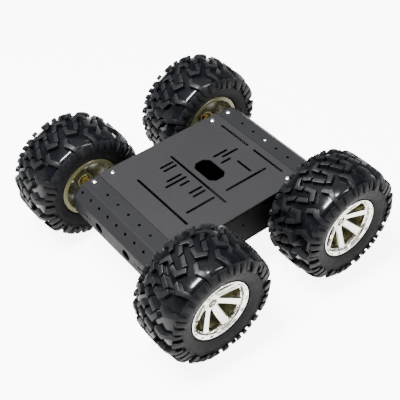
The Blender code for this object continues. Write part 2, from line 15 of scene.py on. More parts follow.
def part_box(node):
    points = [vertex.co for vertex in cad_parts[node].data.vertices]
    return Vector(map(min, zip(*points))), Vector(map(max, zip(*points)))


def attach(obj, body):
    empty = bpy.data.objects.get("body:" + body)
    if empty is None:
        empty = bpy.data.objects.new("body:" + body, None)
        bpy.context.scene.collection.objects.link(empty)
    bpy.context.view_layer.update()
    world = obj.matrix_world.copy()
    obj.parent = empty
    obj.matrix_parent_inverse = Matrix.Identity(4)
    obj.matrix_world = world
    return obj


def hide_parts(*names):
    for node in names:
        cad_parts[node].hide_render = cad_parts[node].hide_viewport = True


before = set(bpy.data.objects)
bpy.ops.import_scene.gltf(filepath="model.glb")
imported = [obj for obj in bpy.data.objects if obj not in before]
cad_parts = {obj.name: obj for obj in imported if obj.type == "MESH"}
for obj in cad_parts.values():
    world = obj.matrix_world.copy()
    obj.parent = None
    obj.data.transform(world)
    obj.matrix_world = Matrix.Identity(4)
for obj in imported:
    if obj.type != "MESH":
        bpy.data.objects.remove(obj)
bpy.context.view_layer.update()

# ---- sizes read from the frame

TYRE_LOW, TYRE_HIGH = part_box("tyre_front_left")
PLATE_LOW, PLATE_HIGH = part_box("top_plate")
TRAY_LOW, TRAY_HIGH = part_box("base_tray")
COVER_LOW, COVER_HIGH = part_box("front_cover")
RIM_LOW, RIM_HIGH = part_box("rim_front_left")

TYRE_R = (TYRE_HIGH.z - TYRE_LOW.z) / 2
AXLE_X = (TYRE_LOW.x + TYRE_HIGH.x) / 2
AXLE_Z = TYRE_LOW.z + TYRE_R
RIM_MID = (RIM_LOW.y + RIM_HIGH.y) / 2
RIM_HALF = (RIM_HIGH.y - RIM_LOW.y) / 2
TOP_Z = PLATE_HIGH.z
SHEET = PLATE_HIGH.z - PLATE_LOW.z
HALF_WIDTH = PLATE_HIGH.y
BASE_Z = TRAY_LOW.z

ENDS = (("front", 1), ("rear", -1))
SIDES = (("left", 1), ("right", -1))


def new_object(name, data):
    """A new object in the scene."""
    made = bpy.data.objects.new(name, data)
    bpy.context.scene.collection.objects.link(made)
    return made


# ---- camera

CAMERA_AZIMUTH = math.radians(-36.573)
CAMERA_ELEVATION = math.radians(43.827)
CAMERA_ROLL = math.radians(-2.282)
CAMERA_DISTANCE = 0.93617
CAMERA_TARGET = Vector((-0.00384, -0.00440, 0.060))
CAMERA_LENS = 78.378
SENSOR_WIDTH = 36.0


def add_camera():
    back = Vector((math.sin(CAMERA_AZIMUTH) * math.cos(CAMERA_ELEVATION),
                   -math.cos(CAMERA_AZIMUTH) * math.cos(CAMERA_ELEVATION),
                   math.sin(CAMERA_ELEVATION)))
    right = Vector((0, 0, 1)).cross(back).normalized()
    up = back.cross(right)
    turned_right = right * math.cos(CAMERA_ROLL) + up * math.sin(CAMERA_ROLL)
    turned_up = up * math.cos(CAMERA_ROLL) - right * math.sin(CAMERA_ROLL)
    data = bpy.data.cameras.new("camera")
    data.lens = CAMERA_LENS
    data.sensor_width = SENSOR_WIDTH
    data.clip_start = 0.01
    camera = new_object("camera", data)
    axes = Matrix((turned_right, turned_up, back)).transposed().to_4x4()
    camera.matrix_world = Matrix.Translation(CAMERA_TARGET + back * CAMERA_DISTANCE) @ axes
    bpy.context.scene.camera = camera


add_camera()


# ---- materials

def new_material(name, colour, roughness, metallic=0.0, **sockets):
    """Principled material with constant values on its own sockets."""
    material = bpy.data.materials.new(name)
    material.use_nodes = True
    inputs = shader_inputs(material)
    inputs["Base Color"].default_value = (*colour, 1.0)
    inputs["Roughness"].default_value = roughness
    inputs["Metallic"].default_value = metallic
    for socket, value in sockets.items():
        inputs[socket.replace("_", " ")].default_value = value
    return material


def shader_inputs(material):
    return material.node_tree.nodes["Principled BSDF"].inputs


def link(material, output, target):
    material.node_tree.links.new(output, target)


def add_node(material, kind, **values):
    node = material.node_tree.nodes.new(kind)
    for key, value in values.items():
        if key in node.inputs:
            node.inputs[key].default_value = value
        else:
            setattr(node, key, value)
    return node


def object_coordinates(material, stretch=(1.0, 1.0, 1.0)):
    """Object coordinates in metres, stretched along the object's axes."""
    coordinates = add_node(material, "ShaderNodeTexCoord")
    mapping = add_node(material, "ShaderNodeMapping", Scale=stretch)
    link(material, coordinates.outputs["Object"], mapping.inputs["Vector"])
    return mapping.outputs["Vector"]


def add_noise(material, vector, scale, detail):
    noise = add_node(material, "ShaderNodeTexNoise", Scale=scale, Detail=detail)
    link(material, vector, noise.inputs["Vector"])
    return noise.outputs["Fac"]


def add_range(material, value, low, high, start=0.3, end=0.7):
    node = add_node(material, "ShaderNodeMapRange")
    for socket, amount in (("From Min", start), ("From Max", end), ("To Min", low), ("To Max", high)):
        node.inputs[socket].default_value = amount
    link(material, value, node.inputs["Value"])
    return node.outputs["Result"]


def vary_roughness(material, value, low, high):
    link(material, add_range(material, value, low, high), shader_inputs(material)["Roughness"])


def vary_colour(material, value, dark, light):
    mix = add_node(material, "ShaderNodeMix", data_type="RGBA")
    ends = {"A": dark, "B": light}
    for socket in mix.inputs:
        if socket.type == "RGBA" and socket.name in ends:
            socket.default_value = (*ends[socket.name], 1.0)
    link(material, add_range(material, value, 0.0, 1.0), mix.inputs["Factor"])
    output = [socket for socket in mix.outputs if socket.type == "RGBA"][0]
    link(material, output, shader_inputs(material)["Base Color"])


def add_bump(material, value, distance, strength, previous=None):
    bump = add_node(material, "ShaderNodeBump", Distance=distance, Strength=strength)
    link(material, value, bump.inputs["Height"])
    if previous:
        link(material, previous, bump.inputs["Normal"])
    link(material, bump.outputs["Normal"], shader_inputs(material)["Normal"])
    return bump.outputs["Normal"]


def coated_material(name, dark, light, shine):
    """Satin black coating with a fine texture, on aluminium sheet."""
    material = new_material(name, dark, 0.48, Specular_IOR_Level=shine)
    place = object_coordinates(material)
    cloud = add_noise(material, place, 28.0, 4.0)
    grain = add_noise(material, place, 2600.0, 2.0)
    vary_colour(material, cloud, dark, light)
    vary_roughness(material, add_noise(material, place, 180.0, 3.0), 0.45, 0.51)
    add_bump(material, grain, 0.00006, 0.7)
    return material


def rubber_material(name, colour, light, low_rough, high_rough, grain_depth, shine):
    material = new_material(name, colour, high_rough, Specular_IOR_Level=shine)
    place = object_coordinates(material)
    vary_colour(material, add_noise(material, place, 90.0, 3.0), colour, light)
    vary_roughness(material, add_noise(material, place, 240.0, 3.0), low_rough, high_rough)
    fine = add_bump(material, add_noise(material, place, 1800.0, 2.0), grain_depth, 0.6)
    add_bump(material, add_noise(material, place, 160.0, 2.0), grain_depth * 3.0, 0.35, fine)
    return material


def chrome_material():
    """Bright plating over moulded plastic, with a faint ripple in its reflections. Its base colour is
    brighter and warmer than plain chrome: a painted warm reflection on real plating.
    """
    # Warm, near-white base colour: painted warm reflection on top of the plating's own brightness.
    material = new_material("chrome_plate", (0.96, 0.945, 0.87), 0.06, 1.0)
    place = object_coordinates(material)
    vary_roughness(material, add_noise(material, place, 60.0, 3.0), 0.04, 0.10)
    add_bump(material, add_noise(material, place, 120.0, 2.0), 0.00005, 0.35)
    return material


def rim_plastic_painted_shade_material():
    """Unplated moulded plastic on the rim's inner side, in a dark olive that is painted shade over the paler
    plastic.
    """
    material = new_material("bare_rim_plastic_painted_shade", (0.16, 0.155, 0.075), 0.26, Specular_IOR_Level=0.6)
    place = object_coordinates(material)
    vary_colour(material, add_noise(material, place, 45.0, 3.0), (0.150, 0.146, 0.066), (0.172, 0.168, 0.082))
    vary_roughness(material, add_noise(material, place, 60.0, 2.0), 0.25, 0.29)
    add_bump(material, add_noise(material, place, 700.0, 2.0), 0.00003, 0.5)
    return material


def metal_material(name, colour, low_rough, high_rough):
    """Machined metal: noise drawn out along the axle's direction gives the tool marks."""
    material = new_material(name, colour, high_rough, 1.0)
    marks = add_noise(material, object_coordinates(material, (1.0, 0.05, 1.0)), 420.0, 3.0)
    vary_roughness(material, marks, low_rough, high_rough)
    add_bump(material, marks, 0.00002, 0.5)
    return material


def nylon_material():
    material = new_material("black_nylon", (0.020, 0.020, 0.021), 0.5)
    place = object_coordinates(material)
    vary_roughness(material, add_noise(material, place, 300.0, 2.0), 0.42, 0.60)
    add_bump(material, add_noise(material, place, 1500.0, 2.0), 0.00003, 0.5)
    return material


def foam_material():
    material = new_material("foam", (0.09, 0.09, 0.09), 0.95)
    cells = add_node(material, "ShaderNodeTexVoronoi", Scale=900.0)
    link(material, object_coordinates(material), cells.inputs["Vector"])
    add_bump(material, cells.outputs["Distance"], 0.0004, 0.8)
    return material


COATED_PLATE = coated_material("coated_plate", (0.0121, 0.0121, 0.0131), (0.0131, 0.0131, 0.0143), 0.12)
COATED_COVER = coated_material("coated_cover", (0.0095, 0.0096, 0.0106), (0.0104, 0.0105, 0.0116), 0.07)
# The tray's coat is darker and less shiny than the plate's and the covers': painted shade on its side walls
# and inside the tray.
TRAY_COAT_PAINTED_SHADE = coated_material("coated_tray_painted_shade", (0.0039, 0.0039, 0.0041), (0.0044, 0.0044, 0.0047), 0.045)
LUG_RUBBER = rubber_material("tyre_tread_rubber", (0.0032, 0.0036, 0.0042), (0.0052, 0.0058, 0.0066),
                             0.36, 0.50, 0.00003, 0.13)
SKIN_RUBBER = rubber_material("tyre_skin_rubber", (0.0016, 0.0018, 0.0026), (0.0026, 0.0029, 0.0039),
                              0.12, 0.18, 0.00001, 0.26)
BAND_RUBBER = rubber_material("tyre_wall_rubber", (0.0060, 0.0063, 0.0072), (0.0080, 0.0084, 0.0095),
                              0.50, 0.62, 0.00002, 0.12)
CHROME_PAINTED_WARM_REFLECTION = chrome_material()
RIM_PLASTIC_PAINTED_SHADE = rim_plastic_painted_shade_material()
BRIGHT_STEEL = metal_material("bright_steel", (0.78, 0.78, 0.76), 0.18, 0.34)
DARK_STEEL = metal_material("gearbox_steel", (0.32, 0.32, 0.33), 0.30, 0.46)
BRASS = metal_material("brass", (0.93, 0.68, 0.20), 0.16, 0.30)
NYLON = nylon_material()
FOAM = foam_material()


# ---- mesh tools

def shaded(bm, smooth_angle):
    """The finished mesh, shaded smooth below the given angle."""
    mesh = bpy.data.meshes.new("mesh")
    bm.to_mesh(mesh)
    bm.free()
    mesh.shade_smooth()
    mesh.set_sharp_from_angle(angle=math.radians(smooth_angle))
    return mesh


def weld(bm):
    bmesh.ops.remove_doubles(bm, verts=bm.verts, dist=1e-6)


def tidy(bm, smooth_angle=30.0):
    """Weld, face outward, and shade smooth below the given angle."""
    weld(bm)
    bmesh.ops.dissolve_degenerate(bm, edges=bm.edges, dist=1e-7)
    bmesh.ops.recalc_face_normals(bm, faces=bm.faces)
    return shaded(bm, smooth_angle)


def place_piece(name, mesh, materials, body, node, matrix=Matrix.Identity(4), weighted=False):
    """Put a finished mesh in the scene as the visible form of a CAD node."""
    mesh.name = name
    piece = new_object(name, mesh)
    if not mesh.materials:
        for material in materials:
            mesh.materials.append(material)
    piece.matrix_world = matrix
    if weighted:
        piece.modifiers.new("even_shading", "WEIGHTED_NORMAL").keep_sharp = True
    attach(piece, body)
    if node:
        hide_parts(node)
    return piece


def add_part(bm, part):
    """Add the faces of another mesh, which is used up."""
    mesh = bpy.data.meshes.new("part")
    part.to_mesh(mesh)
    part.free()
    bm.from_mesh(mesh)
    bpy.data.meshes.remove(mesh)


def spin(profile, segments):
    """Turn a closed outline of (radius, distance) points about the Y axis."""
    bm = bmesh.new()
    ring = [bm.verts.new((r, s, 0.0)) for r, s in profile]
    edges = [bm.edges.new((ring[i - 1], ring[i])) for i in range(len(ring))]
    bmesh.ops.spin(bm, geom=ring + edges, cent=(0, 0, 0), axis=(0, 1, 0),
                   angle=math.tau, steps=segments, use_merge=True)
    return bm


def rounded(points, radius, steps=4):
    """A closed outline with every corner rounded by the radius, where its sides allow it."""
    result = []
    count = len(points)
    for i in range(count):
        before, corner, after = (Vector(points[(i + k) % count]) for k in (-1, 0, 1))
        inward, outward = corner - before, after - corner
        turn = inward.angle_signed(outward, 0.0)
        if abs(turn) < 0.02:
            result.append(tuple(corner))
            continue
        reach = radius * math.tan(abs(turn) / 2)
        reach = min(reach, inward.length * 0.45, outward.length * 0.45)
        real_radius = reach / math.tan(abs(turn) / 2)
        heading = inward.normalized()
        side = 1.0 if turn > 0 else -1.0
        start = corner - heading * reach
        centre = start + side * real_radius * Vector((heading.y, -heading.x))
        arm = start - centre
        for step in range(steps + 1):
            result.append(tuple(centre + Matrix.Rotation(-turn * step / steps, 2) @ arm))
    return result


def circle(centre, radius, segments=32):
    return [(centre[0] + radius * math.cos(math.tau * i / segments),
             centre[1] + radius * math.sin(math.tau * i / segments)) for i in range(segments)]


def stadium(a, b, half_width, steps=8):
    """Outline of a slot with round ends between points a and b."""
    heading = math.atan2(b[1] - a[1], b[0] - a[0])
    points = []
    for end, start in ((b, heading - math.pi / 2), (a, heading + math.pi / 2)):
        for i in range(steps + 1):
            turn = start + math.pi * i / steps
            points.append((end[0] + half_width * math.cos(turn), end[1] + half_width * math.sin(turn)))
    return points


def area(outline):
    return sum(a[0] * b[1] - b[0] * a[1] for a, b in zip(outline, outline[1:] + outline[:1])) / 2


def plate(outline, holes, thickness, edge, edge_steps=1):
    """Flat plate about z = 0 with softened edges, cut from an outline and its holes."""
    curve = bpy.data.curves.new("plate", "CURVE")
    curve.dimensions = "2D"
    curve.fill_mode = "BOTH"
    curve.extrude = thickness / 2 - edge
    curve.bevel_depth = edge
    curve.bevel_resolution = edge_steps
    curve.offset = -edge
    for loop, ahead in [(outline, True)] + [(hole, False) for hole in holes]:
        if (area(loop) > 0) != ahead:
            loop = loop[::-1]
        spline = curve.splines.new("POLY")
        spline.points.add(len(loop) - 1)
        for point, (x, y) in zip(spline.points, loop):
            point.co = (x, y, 0.0, 1.0)
        spline.use_cyclic_u = True
    holder = new_object("plate", curve)
    graph = bpy.context.evaluated_depsgraph_get()
    mesh = bpy.data.meshes.new_from_object(holder.evaluated_get(graph))
    bm = bmesh.new()
    bm.from_mesh(mesh)
    weld(bm)
    bpy.data.objects.remove(holder)
    bpy.data.curves.remove(curve)
    bpy.data.meshes.remove(mesh)
    return bm


def slice_across(bm, axis, cuts):
    """Add edges where planes across one axis meet the mesh."""
    normal = [0.0, 0.0, 0.0]
    normal[axis] = 1.0
    for cut in cuts:
        point = [0.0, 0.0, 0.0]
        point[axis] = cut
        geometry = bm.verts[:] + bm.edges[:] + bm.faces[:]
        bmesh.ops.bisect_plane(bm, geom=geometry, dist=1e-7, plane_co=point, plane_no=normal)


class BendLine:
    """The middle line of a folded sheet, with straight runs and round bends."""

    def __init__(self, corners, radius, steps=6):
        corners = [Vector(corner) for corner in corners]
        self.stations = [(0.0, corners[0], (corners[1] - corners[0]).normalized())]
        self.bends = []
        for before, corner, after in zip(corners, corners[1:], corners[2:]):
            inward, outward = (corner - before).normalized(), (after - corner).normalized()
            turn = inward.angle_signed(outward)
            reach = radius * math.tan(abs(turn) / 2)
            side = 1.0 if turn > 0 else -1.0
            start = corner - inward * reach
            centre = start + side * radius * Vector((inward.y, -inward.x))
            length = self.length() + (start - self.stations[-1][1]).length
            arm = start - centre
            for step in range(steps + 1):
                rotation = Matrix.Rotation(-turn * step / steps, 2)
                here = length + radius * abs(turn) * step / steps
                self.stations.append((here, centre + rotation @ arm, rotation @ inward))
                self.bends.append(here)
        end = corners[-1]
        last = self.stations[-1]
        self.stations.append((last[0] + (end - last[1]).length, end, last[2]))

    def length(self):
        return self.stations[-1][0]

    def along(self, point):
        """Distance along the line to where it passes nearest to a point."""
        point = Vector(point)
        best = None
        for (t0, p0, _), (t1, p1, _) in zip(self.stations, self.stations[1:]):
            run = p1 - p0
            if run.length < 1e-9:
                continue
            share = min(1.0, max(0.0, (point - p0).dot(run) / run.length_squared))
            gap = (p0 + run * share - point).length
            if best is None or gap < best[0]:
                best = (gap, t0 + (t1 - t0) * share)
        return best[1]

    def fold(self, bm, place):
        """Move a flat sheet (distance along, across, through) onto the line."""
        times = [station[0] for station in self.stations]
        for vert in bm.verts:
            t, across, through = vert.co
            i = min(max(int(np.searchsorted(times, t, side="right")) - 1, 0), len(times) - 2)
            t0, p0, d0 = self.stations[i]
            t1, p1, d1 = self.stations[i + 1]
            share = (t - t0) / (t1 - t0) if t1 > t0 else 0.0
            middle = p0.lerp(p1, share)
            direction = d0.lerp(d1, min(max(share, 0.0), 1.0)).normalized()
            normal = Vector((-direction.y, direction.x))
            point = middle + normal * through
            vert.co = place(point.x, point.y, across)


def corners():
    for end_name, end in ENDS:
        for side_name, side in SIDES:
            yield end_name + "_" + side_name, end, side


def corner_matrix(end, side):
    """Frame on an axle with +Y pointing outward from the robot's middle plane."""
    turn = 0.0 if side > 0 else math.pi
    return Matrix.Translation((end * AXLE_X, 0, AXLE_Z)) @ Matrix.Rotation(turn, 4, "Z")


def motor_roll(end, side):
    return Matrix.Rotation(0.0 if end * side > 0 else math.pi, 4, "Y")


# ---- folded sheet body

EDGE = 0.00018  # softened edge of the sheet
SLOT_HALF = 0.0015
HOLE_R = 0.0017
PLATE_SCREW_X = 0.068
COVER_SCREW_X = 0.091
TOP_SCREW_Y = 0.063
SLOTS = (
    ((-0.0538, 0.0360), (-0.0538, -0.0480)),
    ((-0.0043, 0.0435), (-0.0043, -0.0480)),
    ((-0.0240, 0.0358), (-0.0090, 0.0358)),
    ((-0.0240, 0.0295), (-0.0090, 0.0295)),
    ((-0.0310, 0.0145), (-0.0140, 0.0145)),
    ((-0.0375, 0.0080), (-0.0125, 0.0080)),
    ((-0.0240, 0.0008), (-0.0140, 0.0008)),
    ((-0.0240, -0.0147), (-0.0090, -0.0147)),
    ((-0.0240, -0.0213), (-0.0100, -0.0213)),
    ((-0.0435, -0.0357), (-0.0095, -0.0357)),
    ((0.0315, 0.0140), (0.0483, 0.0140)),
    ((0.0388, 0.0080), (0.0582, 0.0080)),
    ((0.0315, 0.0008), (0.0422, 0.0008)),
    ((0.0463, -0.0085), (0.0463, -0.0279)),
    ((0.0080, -0.0357), (0.0605, -0.0357)),
    ((0.0712, 0.0493), (0.0712, 0.0060)),
    ((0.0712, -0.0058), (0.0712, -0.0499)),
)
CABLE_CENTRE = (0.0139, 0.0003)
CABLE_HALF = (0.01080, 0.01775)
CABLE_CORNER = 0.0055

NOSE_TOP_Z = 0.0773
NOSE_LOW_Z = 0.0567
SHOULDER_X = 0.1015
GAP = 0.0003
COVER_BEND = 0.0025
TRAY_BEND = 0.00125
FLAT_ROW = (0.0912, 5, 0.0189)  # distance along the robot, number of holes, pitch
CHAMFER_ROW = (0.10695, 9, 0.01574)
PORT_R = 0.006
PORT_Y = 0.0246
PORT_Z = 0.066
CLUSTER_Y = 0.048
CLUSTER_R = 0.0072
CLUSTER_HOLE_R = 0.0012
CLUSTER_SLOT_HALF = 0.0025
MOTOR_OFFSET = 0.007
BOSS_HOLE_R = 0.0063
FACE_CIRCLE_R = 0.0155
FACE_ANGLES = (60.0, 240.0)
SIDE_HOLE_Z = 0.071
FLANGE_TIP_Y = 0.055
FLOOR_END_X = 0.0988
FLANGE_END_X = 0.1005
WALL_INSET = 0.0005


def octagon(centre, half, corner):
    (x, y), (a, b) = centre, half
    quarter = [(a, b - corner), (a - corner, b)]
    points = []
    for sx, sy in ((1, 1), (-1, 1), (-1, -1), (1, -1)):
        pair = [(x + sx * p, y + sy * q) for p, q in quarter]
        points.extend(pair if sx * sy > 0 else pair[::-1])
    return points


def make_top_plate():
    outline = rounded([(PLATE_LOW.x, PLATE_LOW.y), (PLATE_HIGH.x, PLATE_LOW.y),
                       (PLATE_HIGH.x, PLATE_HIGH.y), (PLATE_LOW.x, PLATE_HIGH.y)], 0.0006)
    holes = [stadium(a, b, SLOT_HALF) for a, b in SLOTS]
    holes.append(rounded(octagon(CABLE_CENTRE, CABLE_HALF, CABLE_CORNER), 0.0016))
    for sx in (-1, 1):
        for sy in (-1, 1):
            holes.append(circle((sx * PLATE_SCREW_X, sy * TOP_SCREW_Y), HOLE_R))
    bm = plate(outline, holes, SHEET, EDGE)
    bmesh.ops.translate(bm, verts=bm.verts, vec=(0, 0, TOP_Z - SHEET / 2))
    place_piece("top_plate_shell", tidy(bm, 25.0), [COATED_PLATE], "chassis", "top_plate",
                weighted=True)


def cover_line():
    half = SHEET / 2
    slope = half * math.tan(math.radians(22.5))
    lip_z = BASE_Z + SHEET + GAP + half
    drop = lip_z - (BASE_Z + half)
    nose = COVER_HIGH.x - half
    return BendLine([(COVER_LOW.x, TOP_Z - half), (SHOULDER_X - slope, TOP_Z - half),
                     (nose, NOSE_TOP_Z - slope), (nose, NOSE_LOW_Z + slope),
                     (SHOULDER_X - slope + drop, lip_z), (0.090, lip_z)], COVER_BEND)


def make_covers():
    line = cover_line()
    width = COVER_HIGH.y
    outline = rounded([(0, -width), (line.length(), -width), (line.length(), width), (0, width)], 0.0006)
    holes = []
    x, count, pitch = FLAT_ROW
    for i in range(count):
        holes.append(circle((line.along((x, TOP_Z)), (i - (count - 1) / 2) * pitch), HOLE_R))
    for sy in (-1, 1):
        holes.append(circle((line.along((COVER_SCREW_X, TOP_Z)), sy * TOP_SCREW_Y), HOLE_R))
    x, count, pitch = CHAMFER_ROW
    chamfer_t = line.along((x, TOP_Z - (x - SHOULDER_X)))
    for i in range(count):
        holes.append(circle((chamfer_t, (i - (count - 1) / 2) * pitch), HOLE_R))
    face = line.along((COVER_HIGH.x, PORT_Z))
    for sy in (-1, 1):
        y = sy * CLUSTER_Y
        holes.append(circle((face, sy * PORT_Y), PORT_R, 64))
        holes.append(stadium((face, y - CLUSTER_SLOT_HALF), (face, y + CLUSTER_SLOT_HALF), SLOT_HALF))
        for dt, dy in ((1, 0), (0, 1), (-1, 0), (0, -1)):
            holes.append(circle((face + dt * CLUSTER_R, y + dy * CLUSTER_R), CLUSTER_HOLE_R, 20))
    bm = plate(outline, holes, SHEET, EDGE)
    slice_across(bm, 0, line.bends)
    line.fold(bm, lambda x, z, y: (x, y, z))
    mesh = tidy(bm, 25.0)
    for name, end in ENDS:
        turn = Matrix.Rotation(0.0 if end > 0 else math.pi, 4, "Z")
        place_piece(name + "_cover_shell", mesh, [COATED_COVER], "chassis", name + "_cover",
                    turn, weighted=True)


def make_tray():
    half = SHEET / 2
    wall_y = HALF_WIDTH - half
    flange_z = TOP_Z - SHEET - GAP - half
    line = BendLine([(FLANGE_TIP_Y, flange_z), (wall_y, flange_z), (wall_y, BASE_Z + half),
                     (-wall_y, BASE_Z + half), (-wall_y, flange_z), (-FLANGE_TIP_Y, flange_z)], TRAY_BEND)
    wall_end = TRAY_HIGH.x
    shoulder = SHOULDER_X - WALL_INSET
    low_corner = BASE_Z + wall_end - shoulder
    high_corner = TOP_Z - (wall_end - shoulder)
    bend_clear = line.along((wall_y, flange_z - TRAY_BEND))
    wall_top = line.along((wall_y, flange_z - 2 * TRAY_BEND))
    wall_low = line.along((wall_y, BASE_Z + half + 2 * TRAY_BEND))
    floor_start = line.along((wall_y - 2 * TRAY_BEND, BASE_Z + half))
    reach_high = shoulder + (TOP_Z - (flange_z - 2 * TRAY_BEND))
    reach_low = shoulder + (half + 2 * TRAY_BEND)
    quarter = [(0.0, FLANGE_END_X), (bend_clear - 0.0012, FLANGE_END_X), (wall_top, reach_high),
               (line.along((wall_y, high_corner)), wall_end), (line.along((wall_y, low_corner)), wall_end),
               (wall_low, reach_low), (floor_start, FLOOR_END_X)]
    total = line.length()
    ahead = quarter + [(total - t, x) for t, x in reversed(quarter)]
    outline = [(t, x) for t, x in ahead] + [(t, -x) for t, x in reversed(ahead)]
    holes = []
    for end in (-1, 1):
        for screw_x in (PLATE_SCREW_X, COVER_SCREW_X):
            t = line.along((TOP_SCREW_Y, flange_z))
            holes.extend([circle((t, end * screw_x), HOLE_R), circle((total - t, end * screw_x), HOLE_R)])
    for name, end, side in corners():
        matrix = corner_matrix(end, side) @ motor_roll(end, side)
        for x, z, radius in [(0.0, 0.0, BOSS_HOLE_R)] + [(x, z, HOLE_R) for x, z in face_screw_points()]:
            point = matrix @ Vector((x, wall_y, z))
            holes.append(circle((line.along((point.y, point.z)), point.x), radius))
    t = line.along((wall_y, SIDE_HOLE_Z))
    holes.extend([circle((t, 0.0), HOLE_R), circle((total - t, 0.0), HOLE_R)])
    bm = plate(rounded(outline, 0.0008), holes, SHEET, EDGE)
    slice_across(bm, 0, line.bends)
    line.fold(bm, lambda y, z, x: (x, y, z))
    place_piece("base_tray_shell", tidy(bm, 25.0), [TRAY_COAT_PAINTED_SHADE], "chassis", "base_tray",
                weighted=True)


def face_screw_points():
    for degrees in FACE_ANGLES:
        turn = math.radians(degrees)
        yield -MOTOR_OFFSET + FACE_CIRCLE_R * math.cos(turn), FACE_CIRCLE_R * math.sin(turn)


# ---- tyre

PITCHES = 16
PITCH = 0.0255  # one tread pitch on the flat pattern
MIDLINE = -0.0063  # groove between the two halves of the tread, from the tyre's middle
BACK_WIDTH = 0.66  # width of the half behind the groove, against the half in front
BACK_SHIFT = 0.0093  # how far round the tyre the half behind the groove starts
LUG_ROOT = 0.0012  # depth of the lugs' roots under the carcass
LUG_CORNER = 0.0006
LUG_EDGE = 0.0004
LUG_SLICES = (0.0032, 0.0022)  # longest piece of a lug round the tyre and across it
CARCASS_SEGMENTS = 192
# Half of the carcass section, (distance from the tyre's middle, radius), from crown to bead
CARCASS = (
    (0.0000, 0.0600), (0.0090, 0.0600), (0.0180, 0.0598), (0.0240, 0.0589), (0.0270, 0.0572),
    (0.0296, 0.0540), (0.0312, 0.0500), (0.0318, 0.0465), (0.0312, 0.0430), (0.0300, 0.0397),
    (0.0290, 0.0374), (0.0284, 0.0363), (0.0272, 0.0355), (0.0251, 0.0353), (0.0251, 0.0318),
)
# Height of the raised ring that carries the side lugs, against distance from the crown
RING = ((0.0, 0.0270, 0.0275, 0.0384, 0.0396, 0.0800), (0.0, 0.0, 0.0011, 0.0009, 0.0, 0.0))
MATT_START = 0.0273  # distance from the crown to where the matt sidewall starts
TYRE_MATERIALS = [SKIN_RUBBER, LUG_RUBBER, BAND_RUBBER]
CARCASS_INSIDE = ((0.0170, 0.0318), (0.0215, 0.0372), (0.0290, 0.0460), (0.0260, 0.0540), (0.0100, 0.0572))

# Lugs of one pitch of the front half, on the flat pattern: outline as (around, outward from the
# tyre's middle) in millimetres, height at the inner and outer end, and which pitches have it
EVERY, EVEN, ODD = (0, 1), (0,), (1,)
TREAD_LUGS = (
    (((1.8, -5.3), (7.4, -5.3), (12.4, 4.6), (8.3, 6.9)), 5.0, 5.0, EVERY),
    (((15.7, -5.3), (20.7, -5.3), (23.5, 6.0), (12.9, 11.5), (9.7, 7.8), (16.6, 3.7), (17.7, 1.4)),
     5.0, 5.0, EVERY),
    (((-1.4, 10.6), (3.7, 10.1), (8.8, 17.9), (7.4, 20.2), (4.1, 27.4), (-0.9, 27.4), (0.0, 23.9),
      (2.8, 17.9)), 5.0, 4.5, EVERY),
)
# Lugs of the ring between tread and sidewall, the same on both sides: a foot under each arm of the
# tread, then a pair of ribs or a single one by turns
SIDE_LUGS = (
    (((-0.9, 26.9), (4.1, 26.9), (3.9, 34.0), (3.0, 35.4), (-0.2, 35.4), (-0.9, 34.0)), 4.7, 3.4, EVERY),
    (((5.6, 29.0), (6.6, 28.1), (10.2, 28.1), (11.2, 29.0), (11.9, 36.2), (10.7, 38.0), (6.1, 38.0),
      (4.9, 36.2)), 5.0, 3.2, EVEN),
    (((15.4, 29.0), (16.4, 28.1), (20.0, 28.1), (21.0, 29.0), (21.9, 36.2), (20.7, 38.0), (16.1, 38.0),
      (14.9, 36.2)), 5.0, 3.2, EVEN),
    (((10.3, 29.0), (11.3, 28.1), (15.9, 28.1), (16.9, 29.0), (17.6, 36.2), (16.4, 38.0), (10.8, 38.0),
      (9.6, 36.2)), 5.0, 3.2, ODD),
)
# Angle of the first pitch about the axle, and whether the pattern is a mirror image
TREAD_STARTS = {"front_left": (104.5, False), "front_right": (139.5, True),
                "rear_left": (99.7, False), "rear_right": (102.1, False)}


def catmull(points, steps):
    """A smooth line through points, which keeps its first and last ones."""
    points = [Vector(p) for p in points]
    padded = [points[0] * 2 - points[1]] + points + [points[-1] * 2 - points[-2]]
    result = []
    for p0, p1, p2, p3 in zip(padded, padded[1:], padded[2:], padded[3:]):
        for step in range(steps):
            t = step / steps
            result.append(0.5 * ((2 * p1) + (p2 - p0) * t + (2 * p0 - 5 * p1 + 4 * p2 - p3) * t * t
                                 + (3 * p1 - p0 - 3 * p2 + p3) * t ** 3))
    return result + [points[-1]]


class TyreSkin:
    """Maps (around, outward, height) on the flat tread pattern to the round tyre.

    Outward on the pattern is towards -Y, the robot's right, on all four tyres.
    """

    def __init__(self, mirrored):
        turned = [(-s, r) for s, r in CARCASS[:0:-1]]
        line = catmull(turned + list(CARCASS), 6)
        self.points = np.array([(p.x, p.y) for p in line])
        steps = np.linalg.norm(np.diff(self.points, axis=0), axis=1)
        self.lengths = np.concatenate([[0.0], np.cumsum(steps)])
        self.lengths -= self.lengths[-1] / 2
        slope = np.gradient(self.points, self.lengths, axis=0)
        slope /= np.linalg.norm(slope, axis=1)[:, None]
        self.normals = np.stack([-slope[:, 1], slope[:, 0]], axis=1)
        self.hand = -1.0 if mirrored else 1.0

    def __call__(self, around, outward, height):
        s, r, ns, nr = (np.interp(outward, self.lengths, column)
                        for column in (*self.points.T, *self.normals.T))
        s, r = s + ns * height, r + nr * height
        turn = self.hand * math.tau * around / (PITCH * PITCHES)
        return r * math.cos(turn), -s, r * math.sin(turn)


